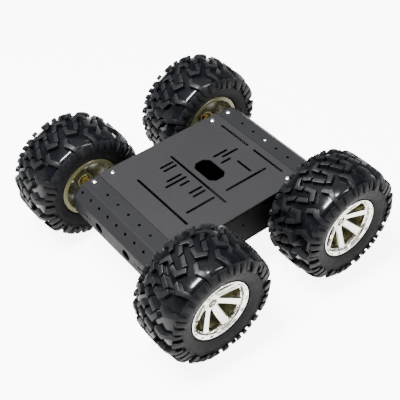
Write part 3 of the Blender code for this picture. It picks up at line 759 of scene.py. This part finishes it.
def tyre_carcass_mesh(skin):
    """Carcass with a raised ring on each shoulder, glossy between the lugs and matt on the sidewall."""
    edges = [side * edge for side in (-1, 1) for edge in RING[0][1:-1]]
    outside = []
    for outward in sorted(list(skin.lengths) + edges):
        r, s, _ = skin(0.0, outward, float(np.interp(abs(outward), RING[0], RING[1])))
        outside.append((r, -s))
    inside = [(r, s) for s, r in CARCASS_INSIDE]
    bm = spin(outside + inside + [(r, -s) for r, s in reversed(inside)], CARCASS_SEGMENTS)
    matt_r = float(np.interp(MATT_START, skin.lengths, skin.points[:, 1]))
    for face in bm.faces:
        centre = face.calc_center_median()
        if math.hypot(centre.x, centre.z) < matt_r:
            face.material_index = TYRE_MATERIALS.index(BAND_RUBBER)
    return bm


def flat_lug(millimetres, inner_height, outer_height):
    """One lug on the flat pattern, sliced so that it can follow the tyre."""
    outline = [(around / 1000, outward / 1000) for around, outward in millimetres]
    inner_height, outer_height = inner_height / 1000, outer_height / 1000
    arounds, outwards = zip(*outline)
    thickness = inner_height + LUG_ROOT
    bm = plate(rounded(outline, LUG_CORNER, 2), [], thickness, LUG_EDGE)
    for axis, places in enumerate((arounds, outwards)):
        slice_across(bm, axis, np.arange(min(places), max(places), LUG_SLICES[axis])[1:])
    low, high = min(outwards), max(outwards)
    for vert in bm.verts:
        around, outward, through = vert.co
        share = min(1.0, max(0.0, (outward - low) / (high - low)))
        top = inner_height + (outer_height - inner_height) * share
        vert.co = (around, outward, (through / thickness + 0.5) * (top + LUG_ROOT) - LUG_ROOT)
    return bm


def front_place(around, outward):
    return around, outward


def back_place(around, outward):
    return BACK_SHIFT - around, MIDLINE - BACK_WIDTH * (outward - MIDLINE)


def back_side_place(around, outward):
    return BACK_SHIFT - around, -outward


def stamp_lug(target, lug, skin, pitch, place):
    """Bend a copy of a flat lug round the tyre."""
    moved = {}
    for vert in lug.verts:
        around, outward = place(vert.co.x, vert.co.y)
        moved[vert] = target.verts.new(skin(around + pitch * PITCH, outward, vert.co.z))
    for face in lug.faces:
        added = target.faces.new([moved[v] for v in face.verts])
        added.material_index = TYRE_MATERIALS.index(LUG_RUBBER)


def tyre_mesh(mirrored):
    skin = TyreSkin(mirrored)
    bm = tyre_carcass_mesh(skin)
    weld(bm)
    for lugs, back in ((TREAD_LUGS, back_place), (SIDE_LUGS, back_side_place)):
        for outline, inner_height, outer_height, turns in lugs:
            lug = flat_lug(outline, inner_height, outer_height)
            for pitch in range(PITCHES):
                if pitch % 2 in turns:
                    for place in (front_place, back):
                        stamp_lug(bm, lug, skin, pitch, place)
            lug.free()
    return tidy(bm, 32.0)


# ---- rim

SPOKES = 7
RIM_TURNS = {"front_left": 0.0, "front_right": -19.8, "rear_left": 0.0, "rear_right": 5.1}
LIP_R = 0.0343
BARREL_R = 0.0315
BORE_R = 0.0295
LIP_ROLL = 0.0009  # radius of the lip's rolled edge
BAND_R = 0.0302  # inner edge of the lip's sloping band
BAND_DEPTH = 0.0017  # from the lip's face to the band's inner edge
DISH_R = 0.0290  # where the spokes meet the wall inside the lip
DISH_DEPTH = 0.0042  # from the lip's face to the spokes' outer end
HUB_DEPTH = 0.0134  # from the lip's face to the hub's face
HUB_R = 0.009
BOSS_R = 0.0064  # raised ring round the wheel screw's seat
SEAT_R = 0.0046
WEB = 0.0058
FACET = 0.0012
WINDOW_IN_R = 0.0098
WINDOW_OUT_R = 0.0284
SPOKE_HALVES = (0.0040, 0.0047)  # half of a spoke's width, facets included, at hub and lip
RIM_SEGMENTS = 16 * 2 * SPOKES
DIMPLE_R = 0.0320
DIMPLE_HALF = (0.0027, 0.00085)  # half sizes round the rim and along its radius
DIMPLE_DEPTH = 0.0012


def rim_barrel_mesh():
    """Barrel with a rolled lip at each side, and oblong dimples in the outer lip's sloping band."""
    low, high = RIM_MID - RIM_HALF, RIM_MID + RIM_HALF
    profile = [(BORE_R, low + 0.0004), (BORE_R + 0.0006, low), (LIP_R - 0.0006, low), (LIP_R, low + 0.0006),
               (LIP_R, low + 0.003), (BARREL_R + 0.0006, low + 0.0032), (BARREL_R, low + 0.0040),
               (BARREL_R, high - 0.0040), (BARREL_R + 0.0006, high - 0.0032), (LIP_R, high - 0.0030)]
    for step in range(7):
        turn = math.radians(15 + 105 * step / 6) if step else 0.0
        profile.append((LIP_R - LIP_ROLL * (1 - math.cos(turn)), high - LIP_ROLL * (1 - math.sin(turn))))
    edge = profile[-1]
    inner = (BAND_R, high - BAND_DEPTH)
    for step in range(1, 13):
        share = step / 12
        profile.append((edge[0] + (inner[0] - edge[0]) * share, edge[1] + (inner[1] - edge[1]) * share))
    profile += [(BAND_R - 0.0004, high - BAND_DEPTH - 0.0005), (DISH_R + 0.0001, high - DISH_DEPTH - 0.0006),
                (BORE_R - 0.0006, high - DISH_DEPTH - WEB + 0.001), (BORE_R, high - DISH_DEPTH - WEB)]
    bm = spin(profile, RIM_SEGMENTS)
    for vert in bm.verts:
        radius = math.hypot(vert.co.x, vert.co.z)
        if vert.co.y < high - BAND_DEPTH or not BAND_R < radius < edge[0]:
            continue
        turn = math.atan2(vert.co.z, vert.co.x) * 2 * SPOKES / math.tau - 0.5
        around = (turn - round(turn)) * math.tau / (2 * SPOKES) * radius / DIMPLE_HALF[0]
        across = (radius - DIMPLE_R) / DIMPLE_HALF[1]
        vert.co.y -= DIMPLE_DEPTH * max(0.0, 1.0 - around ** 4) * max(0.0, 1.0 - across ** 4)
    return bm


def dish_height(radius):
    """Distance of the spokes' outer face from the middle plane."""
    share = min(1.0, max(0.0, (radius - HUB_R) / (DISH_R - HUB_R)))
    low = RIM_MID + RIM_HALF - HUB_DEPTH
    return low + (HUB_DEPTH - DISH_DEPTH) * (share ** 1.15)


def window_outline(index):
    """One of the windows between two spokes, narrow at the hub."""
    half_turn = math.pi / SPOKES
    middle = (2 * index + 1) * half_turn
    near = half_turn - math.asin(SPOKE_HALVES[0] / WINDOW_IN_R)
    far = half_turn - math.asin(SPOKE_HALVES[1] / WINDOW_OUT_R)
    points = [(WINDOW_IN_R, -near)]
    points += [(WINDOW_OUT_R, far * (k / 3 - 1)) for k in range(7)]
    points.append((WINDOW_IN_R, near))
    return rounded([(r * math.cos(middle + a), r * math.sin(middle + a)) for r, a in points], 0.0008, 3)


def rim_spokes_mesh():
    """Seven flat spokes with facets along their edges, dished towards the hub, and deep sides."""
    outline = circle((0, 0), BARREL_R - 0.0002, RIM_SEGMENTS)
    holes = [window_outline(i) for i in range(SPOKES)]
    holes.append(circle((0, 0), SEAT_R, 48))
    bm = plate(outline, holes, WEB, FACET, 0)
    cuts = np.arange(-0.030, 0.0301, 0.0025)
    slice_across(bm, 0, cuts)
    slice_across(bm, 1, cuts)
    for vert in bm.verts:
        x, z, through = vert.co
        radius = math.hypot(x, z)
        vert.co = (x, dish_height(radius) - WEB / 2 + through, z)
    return bm


def rim_hub_mesh():
    face = RIM_MID + RIM_HALF - HUB_DEPTH
    seat, start, pocket = face - 0.0050, 0.0960, 0.1043
    profile = [(SEAT_R, face - 0.0002), (SEAT_R, seat), (0.0023, seat), (0.0023, pocket), (0.0073, pocket),
               (0.0073, start), (HUB_R - 0.0006, start), (HUB_R, start + 0.0006), (HUB_R, face - 0.0040),
               (BOSS_R + 0.0008, face - 0.0006), (BOSS_R, face + 0.0008), (SEAT_R + 0.0005, face + 0.0008)]
    return spin(profile, 72)


def rim_mesh():
    """Plated on the side that shows from outside, bare plastic behind, whose dark colour is painted shade."""
    bm = bmesh.new()
    for part in (rim_barrel_mesh(), rim_spokes_mesh(), rim_hub_mesh()):
        weld(part)
        bmesh.ops.recalc_face_normals(part, faces=part.faces)
        add_part(bm, part)
    outer_face = RIM_MID + RIM_HALF
    for face in bm.faces:
        centre = face.calc_center_median()
        radius = math.hypot(centre.x, centre.z)
        behind = centre.y < dish_height(radius) - 0.0030 and face.normal.y < 0.9
        inside = radius < BORE_R + 0.0003 or (radius < BARREL_R - 0.0005
                                              and centre.y < outer_face - DISH_DEPTH - 0.001)
        # Faces inside the bowl and on the inner lip get the bare plastic, coloured dark as painted shade.
        if (behind and inside) or centre.y < RIM_MID - RIM_HALF + 0.0025:
            face.material_index = 1
    return shaded(bm, 28.0)


# ---- small turned and milled pieces

COUPLING_BORE_R = 0.0033
SCREW_SHANK_R = 0.0014  # the small screws
SCREW_HEAD = 0.0017  # height of their heads
WHEEL_SCREW_SHANK_R = 0.0017
WHEEL_SCREW_HEAD = 0.0025
SOCKET_RING = 0.44  # the sizes of a screw's socket, as shares of its head's
SOCKET_FLAT = 0.40
SOCKET_DEPTH = 0.62
SHAFT_FLAT = (0.0150, 0.83)  # length, and height as a share of the radius
GEARBOX_FACE = 0.0697
CAN_CORNER = 0.0018
CAN_SEAT = 0.0012
TERMINAL_Z = 0.0095


def round_box(node):
    """Low and high corners of a round or six-sided piece along Y, and its radius."""
    low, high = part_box(node)
    return low, high, (high.z - low.z) / 2


def hex_outline(half_width, round_off):
    return rounded(circle((0, 0), half_width / math.cos(math.radians(30)), 6), round_off, 2)


def drilled(mesh, drill):
    """The mesh with the drill's shape cut out of it."""
    holders = [new_object(part.name, part) for part in (mesh, drill)]
    hole = holders[0].modifiers.new("hole", "BOOLEAN")
    hole.operation = "DIFFERENCE"
    hole.object = holders[1]
    graph = bpy.context.evaluated_depsgraph_get()
    bm = bmesh.new()
    bm.from_object(holders[0], graph)
    for holder in holders:
        bpy.data.objects.remove(holder)
    return bm


def coupling_mesh():
    """Brass hexagon with chamfered ends, a shaft bore and a hole for the set screw."""
    low, high, half = round_box("hex_coupling_front_left")
    length = high.y - low.y
    bm = plate(hex_outline(half, 0.0004), [circle((0, 0), COUPLING_BORE_R, 40)], length, 0.0005)
    slice_across(bm, 2, [length / 2 - 0.002, 0.002 - length / 2])
    for vert in bm.verts:
        x, z, through = vert.co
        vert.co = (x, (low.y + high.y) / 2 + through, z)
    grub_low, grub_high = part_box("grub_screw_front_left")
    grub_y = (grub_low.y + grub_high.y) / 2
    drill = plate(circle((0, grub_y), (grub_high.x - grub_low.x) / 2 + GAP, 24), [], half, 0.0)
    bmesh.ops.translate(drill, verts=drill.verts, vec=(0, 0, half))
    return tidy(drilled(tidy(bm), tidy(drill)), 28.0)


def button_head_mesh(seat, shank_r, head_r, head_h, tip):
    """Button-head screw along Y with a rolled thread end and a six-sided socket."""
    top = seat + head_h
    dome = []
    for step in range(9):
        turn = math.radians(90 - 62 * step / 8)
        rise = 0.28 + 0.72 * (math.sin(turn) - 0.469) / 0.531
        dome.append((head_r * math.cos(turn) * 1.12, seat + head_h * rise))
    dome = [(min(r, head_r), s) for r, s in dome if r > head_r * 0.46]
    ring = head_r * SOCKET_RING
    bottom = top - head_h * SOCKET_DEPTH
    profile = [(ring, top - 0.0001)] + dome
    profile += [(head_r, seat + head_h * 0.16), (head_r - 0.0002, seat), (shank_r, seat),
                (shank_r, tip + 0.0004), (shank_r - 0.0004, tip), (0.0, tip), (0.0, bottom)]
    bm = spin(profile, 48)
    weld(bm)
    socket = [v for v in bm.verts if abs(math.hypot(v.co.x, v.co.z) - ring) < 1e-5 and v.co.y > seat]
    for vert in socket:
        turn = math.atan2(vert.co.z, vert.co.x)
        wedge = (turn + math.pi / 6) % (math.pi / 3) - math.pi / 6
        reach = head_r * SOCKET_FLAT / math.cos(wedge)
        vert.co.x, vert.co.z = reach * math.cos(turn), reach * math.sin(turn)
    middle = [f for f in bm.faces if f.calc_center_median().y > seat
              and all(v in socket or math.hypot(v.co.x, v.co.z) < 1e-6 for v in f.verts)]
    grown = bmesh.ops.extrude_face_region(bm, geom=middle)
    for vert in [g for g in grown["geom"] if isinstance(g, bmesh.types.BMVert)]:
        vert.co.y = bottom
    bmesh.ops.delete(bm, geom=middle, context="FACES")
    return tidy(bm, 30.0)


def shaft_mesh():
    low, high, radius = round_box("output_shaft_front_left")
    bm = plate(circle((0, 0), radius, 48), [], high.y - low.y, 0.0004)
    flat_from = high.y - SHAFT_FLAT[0]
    slice_across(bm, 2, [flat_from - (low.y + high.y) / 2])
    for vert in bm.verts:
        x, z, through = vert.co
        distance = (low.y + high.y) / 2 + through
        if distance > flat_from + 1e-5:
            z = min(z, radius * SHAFT_FLAT[1])
        vert.co = (x, distance, z)
    return tidy(bm, 30.0)


def gearbox_mesh():
    """Gearbox with a rolled joint in its middle and an off-centre boss."""
    low, high, radius = round_box("gearbox_front_left")
    face = GEARBOX_FACE
    profile = [(0.0, low.y), (radius - 0.0006, low.y), (radius, low.y + 0.0006), (radius, low.y + 0.0068),
               (radius - 0.0005, low.y + 0.0072), (radius - 0.0005, low.y + 0.0080), (radius, low.y + 0.0084),
               (radius, face - 0.0030), (radius - 0.0004, face - 0.0026), (radius - 0.0004, face - 0.0020),
               (radius, face - 0.0016), (radius, face - 0.0005), (radius - 0.0005, face), (0.0, face)]
    bm = spin(profile, 72)
    bmesh.ops.translate(bm, verts=bm.verts, vec=(-MOTOR_OFFSET, 0, 0))
    add_part(bm, spin([(0.0033, face - 0.001), (0.0060, face - 0.001), (0.0060, high.y - 0.0004),
                       (0.0056, high.y), (0.0037, high.y), (0.0033, high.y - 0.0004)], 48))
    return tidy(bm, 28.0)


def motor_can_mesh():
    """Drawn steel can with a rounded back and a bearing seat."""
    low, high, radius = round_box("motor_can_front_left")
    back = low.y + CAN_SEAT
    corner = []
    for step in range(7):
        turn = math.pi / 2 * step / 6
        corner.append((radius - CAN_CORNER * (1 - math.cos(turn)), back + CAN_CORNER * (1 - math.sin(turn))))
    profile = [(0.0, high.y), (radius - 0.0004, high.y), (radius, high.y - 0.0004)] + corner
    profile += [(0.0052, back), (0.0050, back - 0.0002), (0.0050, low.y + 0.0002), (0.0048, low.y),
                (0.0, low.y)]
    return tidy(spin(profile, 72), 28.0)


def motor_cap_mesh():
    """Brush cap with a raised ring round its bearing."""
    low, high, radius = round_box("motor_cap_front_left")
    profile = [(0.0056, high.y), (radius, high.y), (radius, low.y + 0.0006), (radius - 0.0006, low.y),
               (radius - 0.0030, low.y), (radius - 0.0034, low.y + 0.0005), (0.0075, low.y + 0.0005),
               (0.0071, low.y), (0.0058, low.y), (0.0056, low.y + 0.0002)]
    return tidy(spin(profile, 64), 28.0)


def terminal_mesh():
    """One solder tab with a hole, standing out of the brush cap."""
    low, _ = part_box("motor_cap_front_left")
    bm = plate(rounded([(-0.0014, 0.0), (0.0014, 0.0), (0.0014, 0.0045), (-0.0014, 0.0045)], 0.0006),
               [circle((0.0, 0.0030), 0.0006, 20)], 0.0005, 0.0001)
    for vert in bm.verts:
        x, out, through = vert.co
        vert.co = (x, low.y + 0.0008 - out, through)
    return tidy(bm, 30.0)


def foam_mesh():
    half = ((0.0325, 0.0150), (0.0380, 0.0200), (0.0450, 0.0260), (0.0510, 0.0240), (0.0550, 0.0180))
    smooth = [(p.x, p.y) for p in catmull(half, 4)]
    profile = [(r, RIM_MID - s) for r, s in smooth] + [(r, RIM_MID + s) for r, s in reversed(smooth)]
    return tidy(spin(profile, 96), 40.0)


def grub_mesh():
    low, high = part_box("grub_screw_front_left")
    radius = (high.x - low.x) / 2
    bm = plate(circle((0, 0), radius, 24), [hex_outline(0.0007, 0.0001)], high.z - low.z, 0.0002)
    for vert in bm.verts:
        x, y, through = vert.co
        vert.co = (x, (low.y + high.y) / 2 + y, (low.z + high.z) / 2 + through - AXLE_Z)
    return tidy(bm, 30.0)


# ---- assembly

def make_wheels():
    rim, coupling, shaft, foam = rim_mesh(), coupling_mesh(), shaft_mesh(), foam_mesh()
    tyres = {mirrored: tyre_mesh(mirrored) for mirrored in (False, True)}
    grub = grub_mesh()
    low, high, head_r = round_box("wheel_screw_front_left")
    screw = button_head_mesh(high.y - WHEEL_SCREW_HEAD, WHEEL_SCREW_SHANK_R, head_r, WHEEL_SCREW_HEAD, low.y)
    for name, end, side in corners():
        matrix = corner_matrix(end, side)
        start, mirrored = TREAD_STARTS[name]
        tyre = tyres[mirrored].copy()
        tyre.transform(Matrix.Rotation(-math.radians(start), 4, "Y"))
        upright = Matrix.Translation((end * AXLE_X, side * RIM_MID, AXLE_Z))
        rolled = matrix @ Matrix.Rotation(math.radians(RIM_TURNS[name]), 4, "Y")
        for kind, mesh, materials, node, slot, place in (
                ("tyre", tyre, TYRE_MATERIALS, "tyre_", "rubber", upright),
                ("rim", rim, [CHROME_PAINTED_WARM_REFLECTION, RIM_PLASTIC_PAINTED_SHADE], "rim_", "chrome", rolled),
                ("coupling", coupling, [BRASS], "hex_coupling_", "brass", rolled),
                ("shaft", shaft, [BRIGHT_STEEL], "output_shaft_", "steel", matrix),
                ("foam", foam, [FOAM], "foam_insert_", "foam", matrix),
                ("grub", grub, [DARK_STEEL], "grub_screw_", "steel", rolled),
                ("wheel_screw", screw, [BRIGHT_STEEL], "wheel_screw_", "steel", matrix)):
            place_piece(kind + "_visible_" + name, mesh, materials, "wheel_" + name, node + name, place,
                        weighted=kind in ("rim", "coupling"))


def make_motors():
    gearbox, can, cap, terminal = gearbox_mesh(), motor_can_mesh(), motor_cap_mesh(), terminal_mesh()
    low, high, head_r = round_box("motor_screw_front_left_1")
    screw = button_head_mesh(high.y - SCREW_HEAD, SCREW_SHANK_R, head_r, SCREW_HEAD, low.y)
    centre = Matrix.Translation((-MOTOR_OFFSET, 0, 0))
    for name, end, side in corners():
        matrix = corner_matrix(end, side) @ motor_roll(end, side)
        for kind, mesh, material, slot, place in (
                ("gearbox", gearbox, DARK_STEEL, "gearbox_steel", matrix),
                ("motor_can", can, BRIGHT_STEEL, "steel", matrix @ centre),
                ("motor_cap", cap, NYLON, "nylon", matrix @ centre)):
            place_piece(kind + "_visible_" + name, mesh, [material], "chassis", kind + "_" + name,
                        place)
        for number, offset in enumerate((-TERMINAL_Z, TERMINAL_Z), 1):
            place_piece("terminal_%s_%d" % (name, number), terminal, [BRASS], "chassis", None,
                        matrix @ centre @ Matrix.Translation((0, 0, offset)))
        for number, (x, z) in enumerate(face_screw_points(), 1):
            place_piece("motor_screw_visible_%s_%d" % (name, number), screw, [BRIGHT_STEEL], "chassis",
                        "motor_screw_%s_%d" % (name, number), matrix @ Matrix.Translation((x, 0, z)))


def make_top_screws():
    low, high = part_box("plate_screw_front_left")
    screw = button_head_mesh(high.z - SCREW_HEAD - TOP_Z, SCREW_SHANK_R, (high.x - low.x) / 2, SCREW_HEAD,
                             low.z - TOP_Z)
    upright = Matrix.Rotation(math.radians(90), 4, "X")
    for name, end, side in corners():
        for kind, x in (("plate_screw_", PLATE_SCREW_X), ("cover_screw_", COVER_SCREW_X)):
            matrix = Matrix.Translation((end * x, side * TOP_SCREW_Y, TOP_Z)) @ upright
            place_piece(kind + "visible_" + name, screw, [BRIGHT_STEEL], "chassis", kind + name,
                        matrix)


make_top_plate()
make_covers()
make_tray()
make_motors()
make_top_screws()
make_wheels()


# ---- floor, backdrop and light

FLOOR_HALF = 6.0
FLOOR_Z = -0.0002  # just under the tyres
LIGHT_TARGET = (0, 0, 0.06)
WORLD_STRENGTH = 0.9
FLOOR_GLOWS = (0.8, 7.0)  # for everything else, and for the camera


def add_area_light(name, place, size, power):
    data = bpy.data.lights.new(name, "AREA")
    data.shape = "RECTANGLE"
    data.size, data.size_y = size
    data.energy = power
    light = new_object(name, data)
    light.location = place
    light.rotation_euler = (Vector(LIGHT_TARGET) - Vector(place)).to_track_quat("-Z", "Y").to_euler()


def add_world():
    """Bright above, darker towards the horizon, so that plated pieces have something to reflect."""
    world = bpy.data.worlds.new("studio")
    world.use_nodes = True
    nodes, links = world.node_tree.nodes, world.node_tree.links
    coordinates = nodes.new("ShaderNodeTexCoord")
    axes = nodes.new("ShaderNodeSeparateXYZ")
    ramp = nodes.new("ShaderNodeValToRGB")
    stops = ramp.color_ramp.elements
    stops[0].position, stops[0].color = 0.0, (0.80, 0.80, 0.80, 1.0)
    stops[1].position, stops[1].color = 0.82, (1.0, 1.0, 1.0, 1.0)
    for place, shade in ((0.22, 0.75), (0.36, 0.06), (0.60, 0.05)):
        stops.new(place).color = (shade, shade, shade, 1.0)
    links.new(coordinates.outputs["Generated"], axes.inputs["Vector"])
    links.new(axes.outputs["Z"], ramp.inputs["Fac"])
    links.new(ramp.outputs["Color"], nodes["Background"].inputs["Color"])
    nodes["Background"].inputs["Strength"].default_value = WORLD_STRENGTH
    bpy.context.scene.world = world


def floor_material():
    """Pale paper with a glow of its own, which the shiny pieces don't mirror."""
    material = new_material("floor_paper", (0.55, 0.54, 0.53), 0.8, Emission_Color=(1.0, 0.99, 0.98, 1.0))
    path = add_node(material, "ShaderNodeLightPath")
    glow = add_range(material, path.outputs["Is Camera Ray"], *FLOOR_GLOWS, 0.0, 1.0)
    link(material, glow, shader_inputs(material)["Emission Strength"])
    return material


def make_stage():
    bm = bmesh.new()
    bmesh.ops.create_grid(bm, x_segments=1, y_segments=1, size=FLOOR_HALF)
    mesh = bpy.data.meshes.new("floor")
    bm.to_mesh(mesh)
    bm.free()
    floor = new_object("floor", mesh)
    floor.location = (0, 0, FLOOR_Z)
    mesh.materials.append(floor_material())
    add_world()
    add_area_light("main_strip", (-0.60, 0.05, 1.55), (0.24, 0.60), 105.0)
    add_area_light("thin_strip", (-0.16, 0.12, 1.65), (0.10, 0.50), 55.0)
    add_area_light("side_window", (0.55, -0.75, 1.25), (0.20, 0.60), 12.0)


make_stage()
